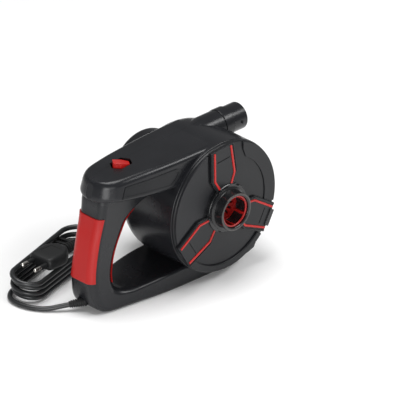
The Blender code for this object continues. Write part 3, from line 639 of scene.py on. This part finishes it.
# Handle and base: outer x and z, inner x and z, half the width, and the corners' radius
LOOP_STATIONS = (
    (-149.0, 150.0, -58.0, 146.0, 19.5, 8.0),
    (-155.0, 135.0, -62.0, 125.0, 19.5, 9.0),
    (-157.0, 120.0, -88.0, 119.5, 19.0, 9.0),
    (-160.0, 106.0, -111.0, 107.0, 18.5, 10.0),
    (-164.0, 90.0, -121.5, 91.0, 18.0, 10.0),
    (-168.0, 70.0, -131.5, 70.0, 18.0, 10.0),
    (-171.0, 50.0, -136.5, 52.0, 18.5, 10.0),
    (-171.5, 34.0, -138.5, 38.0, 20.0, 10.0),
    (-168.0, 15.0, -136.0, 27.0, 22.0, 10.0),
    (-158.0, 3.0, -129.0, 22.0, 24.0, 9.0),
    (-144.0, 0.0, -120.0, 20.0, 26.0, 7.0),
    (-110.0, 0.0, -106.0, 20.0, 30.0, 5.0),
    (-60.0, 0.0, -60.0, 23.5, 35.5, 4.0),
    (12.0, 0.0, 12.0, 25.0, 37.0, 4.0),
)
# Hood: x, front y, rear y, bottom z, top z
HOOD_STATIONS = (
    (-145.0, -26.0, 24.0, 136.5, 160.0),
    (-130.0, -30.0, 26.5, 135.0, 162.0),
    (-105.0, -35.0, 28.5, 133.0, 164.0),
    (-75.0, -40.0, 30.0, 130.5, 165.3),
    (-42.0, -44.0, 31.0, 128.0, 166.6),
    (4.0, -46.0, 31.0, 122.0, 167.5),
)
# The same stations with one more before the first, which gives the curve its direction there
HOOD_STATIONS_LONG = ((-160.0, -22.0, 21.5, 137.6, 157.5), *HOOD_STATIONS)
HOOD_RADIUS = 6.5
NOSE_LENGTH = 22.0
NOSE_TIP = -154.5
NOSE_DROP = 4.5
# How far the hood spreads towards its bottom, from an x on and over a length
SIDE_FLARE, SIDE_FLARE_FROM, SIDE_FLARE_LENGTH = 4.0, -42, 63
NOSE_FLARE, NOSE_FLARE_FROM, NOSE_FLARE_LENGTH = 6.8, -130, 25.5


def scroll_radius(angle):
    """The drum wall's radius at an angle in degrees."""
    if angle > 180:
        angle -= 360
    for (low, start), (high, end) in zip(SCROLL, SCROLL[1:]):
        if low <= angle <= high:
            return DRUM_R + start + (end - start) * (angle - low) / (high - low)
    return DRUM_R


def drum_ring(y, inward):
    """The drum's outline at a y, drawn in by a distance."""
    ring = []
    for i in range(DRUM_STEPS):
        degrees = 360 * i / DRUM_STEPS
        radius = scroll_radius(degrees) - inward
        x, z = polar(radius, degrees)
        ring.append((x, y, z))
    return ring


def drum_body(name, inset):
    """The scroll-shaped drum, or its hollow when it is inset by the wall."""
    front, fillet = DRUM_FRONT + inset, BACK_FILLET - inset / 2
    rim = FRONT_FILLET if inset == 0 else HOLLOW_FILLET
    start = DRUM_BACK - inset - fillet
    rings = []
    for k in range(6):
        angle = math.radians(90 * k / 5)
        rings.append(drum_ring(front + rim * (1 - math.cos(angle)), inset + rim * (1 - math.sin(angle))))
    for y in (-20.0, 0.0):
        rings.append(drum_ring(y, inset))
    for k in range(13):
        angle = math.radians(90 * k / 12)
        y, inward = start + fillet * math.sin(angle), inset + fillet * (1 - math.cos(angle))
        rings.append(drum_ring(y, inward))
    return loft(name, rings)


def hood_at(x):
    """Front y, rear y, bottom z and top z at a place along the hood."""
    x = min(max(x, HOOD_STATIONS[0][0]), HOOD_STATIONS[-1][0])
    for i in range(len(HOOD_STATIONS) - 1):
        if x <= HOOD_STATIONS[i + 1][0]:
            u = (x - HOOD_STATIONS[i][0]) / (HOOD_STATIONS[i + 1][0] - HOOD_STATIONS[i][0])
            return catmull_exact([s[1:] for s in HOOD_STATIONS_LONG], i + 1 + u)
    return HOOD_STATIONS[-1][1:]


def hood_ring(x, inset):
    """A section across the hood, narrowing towards its nose and spreading towards its bottom."""
    front, rear, bottom, top = hood_at(x)
    reach = max(0.0, (NOSE_TIP + NOSE_LENGTH - x) / NOSE_LENGTH)
    narrow = max(0.02, 1 - reach ** 2.3) ** (1 / 2.3)
    middle = (front + rear) / 2
    half = (rear - front) / 2 * narrow
    drop = NOSE_DROP * (1 - math.sqrt(max(0.0, 1 - reach ** 7)))
    section = rounded_section(middle - half + inset, middle + half - inset,
                              bottom + inset + drop * 0.6, top - inset - drop,
                              max(HOOD_RADIUS - inset, 1.2), 8)
    side = SIDE_FLARE * min(max((SIDE_FLARE_FROM - x) / SIDE_FLARE_LENGTH, 0.0), 1.0) * narrow
    nose = NOSE_FLARE * min(max((NOSE_FLARE_FROM - x) / NOSE_FLARE_LENGTH, 0.0), 1.0)
    ring = []
    for y, z in section:
        low = (top - z) / (top - bottom)
        ring.append((x - nose * low, y + side * low * (y - middle) / half, z))
    return ring


def hood_body(name, inset):
    """The hood from its nose to its last station, with sections closer together at the nose."""
    nose_steps, steps = 19, 26
    places = []
    for k in range(nose_steps + 1):
        turn = math.radians(90 * k / nose_steps)
        places.append(NOSE_TIP + inset + NOSE_LENGTH * (1 - math.cos(turn)))
    start, end = places[-1], HOOD_STATIONS[-1][0]
    places += [start + (end - start) * k / steps for k in range(1, steps + 1)]
    return loft(name, [hood_ring(x, inset) for x in places])


def loop_rings(start, end, steps, inset, low_at=None, high_at=None, spread=0.0):
    """Sections across the handle and base.

    low_at and high_at each are a share of the depth and a distance to add to it.
    """
    rings = []
    for i in range(steps + 1):
        ox, oz, ix, iz, half, radius = catmull(LOOP_STATIONS, start + (end - start) * i / steps)
        out, base = Vector((ox, max(oz, 0.0))), Vector((ix, iz))
        depth = (out - base).length
        along = (out - base) / depth
        low = inset if low_at is None else low_at[0] * depth + low_at[1]
        high = depth - inset if high_at is None else high_at[0] * depth + high_at[1]
        width = half - inset + spread
        section = rounded_section(low, high, -width, width, max(radius - inset, 1.5), 8)
        rings.append([(base.x + along.x * u, v, base.y + along.y * u) for u, v in section])
    return rings


# Screws: x, z, the boss's front and rear y, and how much of it is left off at both ends
HOUSING_SCREWS = (
    (-155.0, 36.0, -19.2, 19.2, 0.0),
    (-112.0, 10.5, -28.0, 28.0, 0.0),
    (-30.0, 12.0, -34.5, 34.5, 0.0),
    (-141.0, 148.0, -28.5, 26.0, 4.2),
    (-70.0, 148.0, -40.5, 29.8, 0.0),
)
HEAD_DEPTH = 4.5
FACE_OPENING_R = 74
MOTOR_OPENING_R = 38
FAR_OUT = 120       # past the housing along y


def screw_bosses():
    """The bosses inside the housing, and the stepped holes from its rear."""
    bosses, holes = [], []
    for number, (x, z, front, rear, trim) in enumerate(HOUSING_SCREWS, 1):
        low, high, seat = front + trim, rear - trim, rear - HEAD_DEPTH
        bosses.append(lathe(f"boss_{number}", [(0, low), (5, low), (5, high), (0, high)],
                            at=(x, 0, z), steps=32))
        profile = [(0, -10.5), (2.0, -10.5), (2.0, seat - 0.3), (3.8, seat - 0.3),
                   (3.8, rear + 14), (0, rear + 14)]
        holes.append(lathe(f"hole_{number}", profile, at=(x, 0, z), steps=32))
    return bosses, holes


def housing():
    """The two shells: drum, hood, handle and base in one, hollowed, opened and split."""
    last = len(LOOP_STATIONS) - 1
    body = drum_body("pump_housing", 0.0)
    neck = [(0, 2), (14.2, 2), (16.8, 20), (16.8, 45.5), (16.4, 46), (0, 46)]
    combine(body, "UNION", hood_body("hood_solid", 0.0),
            loft("loop_solid", loop_rings(0, last, 84, 0.0)),
            lathe("neck", neck, axis="X", at=OUTLET_AXIS, steps=72))
    hollows = [drum_body("drum_hollow", WALL), hood_body("hood_hollow", WALL),
               loft("loop_hollow", loop_rings(0.2, last - 0.1, 60, WALL))]
    combine(body, "DIFFERENCE", *hollows)
    bosses, holes = screw_bosses()
    combine(body, "UNION", *bosses)
    hole = [(0, 3.7), (5.5, 3.7), (5.5, 6.7), (4.6, 6.9), (4.6, 12.9), (6.1, 12.9), (6.1, 40), (0, 40)]
    gland_hole = move(lathe("gland_hole", hole, axis="Z", at=(0, 0, 0), steps=48), GLAND)
    outlet = [(0, 20), (14.7, 20), (14.7, 46), (17.7, 46), (17.7, 130), (0, 130)]
    holes += [
        lathe("face_opening", [(0, -60), (FACE_OPENING_R, -60), (FACE_OPENING_R, -42), (0, -42)],
              steps=128),
        lathe("rear_opening", [(0, 40), (MOTOR_OPENING_R, 40), (MOTOR_OPENING_R, 60), (0, 60)],
              steps=64),
        lathe("outlet_opening", outlet, axis="X", at=OUTLET_AXIS, steps=72),
        gland_hole,
        rocker_recess(),
    ]
    combine(body, "DIFFERENCE", *holes)
    sides = (("shell_front", "housing_front", -FAR_OUT, SPLIT_Y - SEAM / 2),
             ("shell_rear", "housing_rear", SPLIT_Y + SEAM / 2, FAR_OUT))
    for name, node, low, high in sides:
        half = body.copy()
        half.data = body.data.copy()
        half.name = name
        bpy.context.scene.collection.objects.link(half)
        combine(half, "INTERSECT", box(name + "_side", (-250, low, -20), (150, high, 250)))
        half.data.materials.clear()
        half.data.materials.append(SHELL)
        finish(half, "housing", "shell_plastic", node)
    bpy.data.objects.remove(body, do_unlink=True)


# ---------------------------------------------------------------- rocker switch

ROCKER_X = -109.0
ROCKER_HALF_LENGTH, ROCKER_HALF_WIDTH, ROCKER_NOSE = 12.0, 7.5, 5.5
RECESS_GROW = 1.9


def rocker_outline(grow):
    """A long hexagon with a corner at each end."""
    long, wide, nose = ROCKER_HALF_LENGTH + grow, ROCKER_HALF_WIDTH + grow, ROCKER_NOSE
    return [(ROCKER_X + x, y) for x, y in (
        (-long, 0.0), (-long + nose, -wide), (long - nose, -wide), (long, 0.0), (long - nose, wide),
        (-long + nose, wide))]


def rocker_recess():
    return prism("rocker_recess", rocker_outline(RECESS_GROW), 150.0, 180.0, upright=False)


def rocker():
    """The red rocker: its top falls from the -X end to the middle and then runs level."""
    body = prism("rocker_cap", rocker_outline(0.0), 159.6, 170.0, RED, upright=False)
    bm = bmesh.new()
    profile = [(-14, 169.0), (-7, 168.4), (-1, 166.2), (6, 163.6), (14, 161.6), (14, 190), (-14, 190)]
    sides = [[bm.verts.new(Vector((ROCKER_X + x, y, z)) * MM) for x, z in profile] for y in (-15, 15)]
    for i in range(len(profile)):
        j = (i + 1) % len(profile)
        bm.faces.new((sides[0][i], sides[0][j], sides[1][j], sides[1][i]))
    bm.faces.new(sides[0])
    bm.faces.new(sides[1])
    combine(body, "DIFFERENCE", to_object("rocker_top", bm, None))
    soften(body, 0.9, 4)
    finish(body, "rocker", "red_plastic", "rocker_switch")


# ---------------------------------------------------------------- grips and side plate

GRIP_PROUD = 1.5


def grips():
    """The red pads, each a skin over the handle between two stations, on its outer or inner side."""
    seat = loft("grip_seat", loop_rings(1.5, 8.2, 60, -GAP * 0.2))
    # Name, node, first and last station, and the depths between which it is cut away
    pads = (
        ("rear_grip", "handle_grip", 2.3, 6.6, (-0.6, 0.0), (1.0, -5.0)),
        ("inner_grip", "finger_grip", 2.6, 7.3, (0.0, 3.2), (1.6, 0.0)),
    )
    for name, node, start, end, cut_from, cut_to in pads:
        pad = loft(name, loop_rings(start, end, 60, -GRIP_PROUD), GRIP)
        rings = loop_rings(start - 0.3, end + 0.3, 60, 0.0, cut_from, cut_to, spread=9.0)
        limit = loft(name + "_limit", rings)
        combine(pad, "DIFFERENCE", limit)
        combine(pad, "DIFFERENCE", seat, keep=True)
        soften(pad, 0.5, 3, 40)
        finish(pad, "housing", "red_grip", node)
    bpy.data.objects.remove(seat, do_unlink=True)


def side_plate():
    """A blank plate on the hood's front side, with a raised border."""
    outer, seat = hood_body("plate_skin", -0.9), hood_body("plate_seat", -0.05)
    outline = [(-137, 140.5), (-71, 137), (-62, 144), (-57, 152), (-63, 156.0), (-132, 153.5)]
    plate_item = prism("side_plate_panel", outline, -60, -8, COVER)
    combine(plate_item, "INTERSECT", outer)
    combine(plate_item, "DIFFERENCE", seat)
    field = [(-133.5, 142.6), (-73, 139.4), (-66, 145), (-62, 151.4), (-65, 153.8), (-129.5, 151.3)]
    floor = hood_body("plate_field", -0.45)
    sunk = prism("plate_sunk", field, -60, -8)
    combine(sunk, "DIFFERENCE", floor)
    combine(plate_item, "DIFFERENCE", sunk)
    soften(plate_item, 0.22, 2, 40)
    finish(plate_item, "housing", "shell_plastic", "side_plate")


# ---------------------------------------------------------------- front cover

ARM_ANGLES = (95.0, 210.5, 331.0)
ARM_ENDS = (76.8, 76.8, 74.8)
# Across the arm and along it from the axis
ARM_OUTLINE = ((-17.4, 77.4), (-20.0, 40.0), (-11.5, 23.5), (11.5, 23.5), (20.0, 40.0), (17.4, 77.4))
STRIP_LINE = ((12.5, 75.0), (15.0, 40.0), (9.0, 27.5))
STRIP_HALF = 1.2
ARM_TOP, STRIP_TOP, STRIP_FLOOR = -56.0, -56.9, -55.3


def turned_outline(outline, degrees):
    turn = math.radians(degrees - 90)
    c, s = math.cos(turn), math.sin(turn)
    return [(x * c - z * s, AXIS_Z + x * s + z * c) for x, z in outline]


def band(line, half):
    """The outline of a strip of even width along a bent line."""
    sides = ([], [])
    for i, point in enumerate(line):
        here = Vector(point)
        before = here - Vector(line[i - 1]) if i else None
        after = Vector(line[i + 1]) - here if i < len(line) - 1 else None
        ways = [v.normalized() for v in (before, after) if v is not None]
        way = sum(ways, Vector((0, 0))).normalized()
        normal = Vector((-way.y, way.x))
        reach = half / max(0.5, way.dot(ways[0]))
        sides[0].append(tuple(here + normal * reach))
        sides[1].append(tuple(here - normal * reach))
    return sides[0] + sides[1][::-1]


def face_cover():
    """The cover with its arms, and on it the left sector's panel, the strips, the ribs and a block."""
    back = DRUM_FRONT - GAP
    profile = [
        (78.0, back), (73.4, back), (73.4, -44.5), (71.0, -44.5), (71.0, -49.6), (32.0, -50.6),
        (21.5, -50.6), (21.5, -44.0), (19.0, -44.0), (19.0, -51.0), (26.0, -53.2), (66.0, -52.6),
        (76.2, -51.9), (77.4, -51.2), (78.0, -50.2),
    ]
    cover = lathe("front_cover", profile, COVER, steps=180, ring=True)
    # raised outer band of the upper right sector, with a stepped inner edge
    step = [polar(76.8, 69), polar(68.5, 66.5), *arc(60.5, 59, -13, 30), polar(66.5, -15.5),
            *arc(76.8, -14, 69, 40)]
    upper = prism("upper_band", step, -53.9, -51.6, COVER, 0.55, segments=3)
    # bevelled flange of the lower sector
    flange = [*arc(69.0, 225.5, 315, 40), *arc(77.4, 316, 224.5, 40)]
    lower = prism("lower_band", flange, -54.6, -51.6, COVER, 1.5, segments=5)
    combine(cover, "UNION", upper, lower)
    for number, degrees in enumerate(ARM_ANGLES, 1):
        shape = [(x, min(z, ARM_ENDS[number - 1])) for x, z in ARM_OUTLINE]
        arm = prism(f"arm_{number}", turned_outline(shape, degrees), ARM_TOP, -50.8, COVER, 0.7,
                    segments=3)
        combine(cover, "UNION", arm)
        for side in (-1, 1):
            line = [(side * x, z) for x, z in STRIP_LINE]
            longer = [(line[0][0], line[0][1] + GAP), line[1], (line[2][0] * 0.98, line[2][1] - GAP)]
            outline = turned_outline(band(longer, STRIP_HALF + GAP), degrees)
            groove = prism(f"groove_{number}_{side}", outline, -70, STRIP_FLOOR + 0.1)
            combine(cover, "DIFFERENCE", groove)
        # a groove across the arm near its end
        across = turned_outline([(-9.6, 61.2), (9.6, 61.2), (9.6, 62.4), (-9.6, 62.4)], degrees)
        combine(cover, "DIFFERENCE", prism(f"cross_{number}", across, -70, ARM_TOP + 0.7))
    finish(cover, "housing", "cover_plastic", "face_cover")

    left = [*arc(77.0, 110.5, 195.5, 48),
            *turned_outline([(21.8, 66.0), (23.8, 41.0)], ARM_ANGLES[1]),
            polar(35.5, 180), polar(33.5, 152), polar(35.5, 124),
            *turned_outline([(-23.8, 41.0), (-21.8, 66.0)], ARM_ANGLES[0])]
    sector = prism("left_sector", left, -54.2, -51.4, SECTOR, 0.5, segments=3)
    finish(sector, "housing", "cover_plastic")

    for number, degrees in enumerate(ARM_ANGLES, 1):
        for side, label in ((-1, "a"), (1, "b")):
            line = [(side * x, min(z, ARM_ENDS[number - 1] - 1.2)) for x, z in STRIP_LINE]
            strip = prism(f"red_strip_{number}{label}", turned_outline(band(line, STRIP_HALF), degrees),
                          STRIP_TOP, STRIP_FLOOR, RED, 0.45, segments=3)
            finish(strip, "housing", "red_plastic", f"accent_strip_{number}{label}")
            outer = [(side * 16.1, ARM_ENDS[number - 1] - 0.8), (side * 18.5, 40.6), (side * 11.4, 26.6)]
            rib = prism(f"arm_rib_{number}{label}", turned_outline(band(outer, 0.75), degrees),
                        ARM_TOP - 0.8, ARM_TOP + 0.8, COVER, 0.4, segments=3)
            finish(rib, "housing", "cover_plastic")
    block = turned_outline([(-9.8, 71.0), (9.8, 71.0), (9.8, 76.8), (-9.8, 76.8)], ARM_ANGLES[2])
    block_piece = prism("arm_block", block, -57.6, -50.6, GLOSSY, 0.5, segments=3)
    finish(block_piece, "housing", "cover_plastic")


def hub():
    """The inlet's tube, with a lip at its front in a lighter grey as a painted highlight, and a notched
    collar round its foot.
    """
    profile = [
        (19.0, -49.0), (19.0, -70.2), (19.5, -70.8), (20.1, HUB_FRONT), (21.4, HUB_FRONT),
        (22.2, -70.6), (22.5, -69.8), (22.5, -60.2), (23.2, -59.0), (24.6, -58.4), (25.4, -57.8),
        (25.7, -57.0), (25.7, -51.0),
    ]
    tube = lathe("hub_tube", profile, GLOSSY, steps=144, ring=True)
    finish(tube, "housing", "cover_plastic")
    # the lip's lighter grey is a painted highlight on the tube's front edge
    lip = [(20.4, -70.9), (20.9, -71.25), (21.9, -71.25), (22.4, -70.9), (21.9, -70.6),
           (20.9, -70.6)]
    finish(lathe("hub_lip", lip, LIP_HIGHLIGHT_GREY, steps=144, ring=True), "housing", "cover_plastic")
    profile = [(25.0, -52.0), (25.0, -57.2), (25.6, -57.6), (28.6, -57.6), (29.2, -57.0),
               (29.2, -52.0)]
    collar = lathe("hub_collar", profile, GLOSSY, steps=144, ring=True)
    notches = around("notch", 6, 30, (-3.2, -59.5, 27.2), (3.2, -55.6, 31.0), 0.4)
    combine(collar, "DIFFERENCE", *notches)
    soften(collar, 0.25, 2, 50)
    finish(collar, "housing", "cover_plastic")


def inlet_guard():
    """A red cage in the hub: a slotted disc at the back, a front ring and six bars."""
    outer, inner = 18.7, 16.7
    profile = [(0, -49.4), (4.2, -49.4), (5.0, -50.2), (6.6, -50.2), (7.4, -49.4), (inner, -49.4),
               (inner, -68.2), (inner + 0.4, -68.6), (outer - 0.3, -68.6), (outer, -68.2),
               (outer, -47.2), (0, -47.2)]
    guard = lathe("inlet_cage", profile, GUARD, steps=96)
    windows = around("window", 6, 30, (-7.6, -67.0, 10.0), (7.6, -51.4, 30.0), 0.6)
    slots = around("slot", 12, 0, (-1.35, -60.0, 8.2), (1.35, -40.0, 15.2), 0.4)
    combine(guard, "DIFFERENCE", *windows, *slots)
    soften(guard, 0.2, 2, 45)
    finish(guard, "housing", "red_plastic", "inlet_guard")


# ---------------------------------------------------------------- nozzle and motor cover

def nozzle():
    """The outlet tube: a spigot in the neck, a collar, and a tip with a peg on each side."""
    end, tip, collar, bore, spigot = 79.4, 15.8, 17.4, 12.6, 14.4
    profile = [
        (bore, 36.0), (spigot, 36.0), (spigot, 46.3), (collar - 0.3, 46.3), (collar, 46.8),
        (collar, 58.2), (collar - 0.4, 58.8), (tip + 0.3, 58.9), (tip, 59.4), (tip, end - 1.2),
        (tip - 0.35, end - 0.4), (tip - 1.2, end), (bore + 0.9, end), (bore + 0.25, end - 0.3),
        (bore, end - 1.0),
    ]
    tube = lathe("outlet_tube", profile, SHELL, axis="X", at=OUTLET_AXIS, steps=128, ring=True)
    peg_x, peg_r = 71, 1.7
    for side in (-1, 1):
        low, high = sorted((OUTLET_Y + side * (tip - 1.2), OUTLET_Y + side * (tip + 1.8)))
        peg = lathe(f"peg_{side}", [(0, low), (peg_r, low), (peg_r, high), (0, high)], SHELL,
                    at=(peg_x, 0, OUTLET_Z), steps=36)
        soften(peg, 0.4, 3)
        combine(tube, "UNION", peg)
    finish(tube, "housing", "shell_plastic", "outlet_nozzle")


def motor_cover():
    """The cup over the motor, with radial vents in its end and slots round its side."""
    outer, inner, end, round_r, round_steps = 47.0, 44.6, 86.0, 10, 12
    profile = [(0, end - 2.4), (inner - 9, end - 2.4), (inner - 2, end - 6), (inner, end - 11),
               (inner, 48.3), (48.4, 48.3), (49.0, 48.9), (49.0, 50.4), (48.4, 51.0),
               (outer + 0.8, 51.2), (outer, 52.2)]
    for k in range(round_steps + 1):
        angle = math.radians(90 * k / round_steps)
        profile.append((outer - round_r * (1 - math.cos(angle)),
                        end - round_r + round_r * math.sin(angle)))
    profile += [(33.4, end), (32.8, end - 0.7), (32.0, end), (9.4, end), (8.8, end - 0.7),
                (8.2, end), (0, end)]
    cover = lathe("rear_cover", profile, SHELL, steps=160)
    vents = around("vent", 20, 0, (-1.2, 78, 13.0), (1.2, 92, 30.0), 0.9)
    side_vents = around("side_vent", 24, 0, (-1.6, 56, 40.0), (1.6, 70, 50.0), 0.9)
    combine(cover, "DIFFERENCE", *vents, *side_vents)
    finish(cover, "housing", "shell_plastic", "motor_cover")


# ---------------------------------------------------------------- carried-over solids

def paint_inner_parts():
    """The looks of the solids that stay as the frame brings them."""
    looks = {
        GREY: ("volute_casing", "volute_lid", "rear_end_bell", "cooling_fan", "switch_body",
               "stator"),
        RUBBER: ("mounting_ring",),
        STEEL: ("motor_can", "front_end_bell", "motor_shaft", "armature",
                *(f"housing_screw_{n}" for n in range(1, 6))),
        COPPER: ("front_winding", "rear_winding", "commutator"),
        BRASS: ("front_bearing", "rear_bearing"),
        CARBON: ("carbon_brush_1", "carbon_brush_2"),
        RED: ("impeller",),
    }
    for look, names in looks.items():
        for name in names:
            item = frame["nodes"][name]
            item.data.materials.clear()
            item.data.materials.append(look)


stage()
lead, lead_points = cord()
boot = gland()
plug_pieces = plug()
tie_pieces = tie()
housing()
rocker()
grips()
side_plate()
face_cover()
hub()
inlet_guard()
nozzle()
motor_cover()
paint_inner_parts()
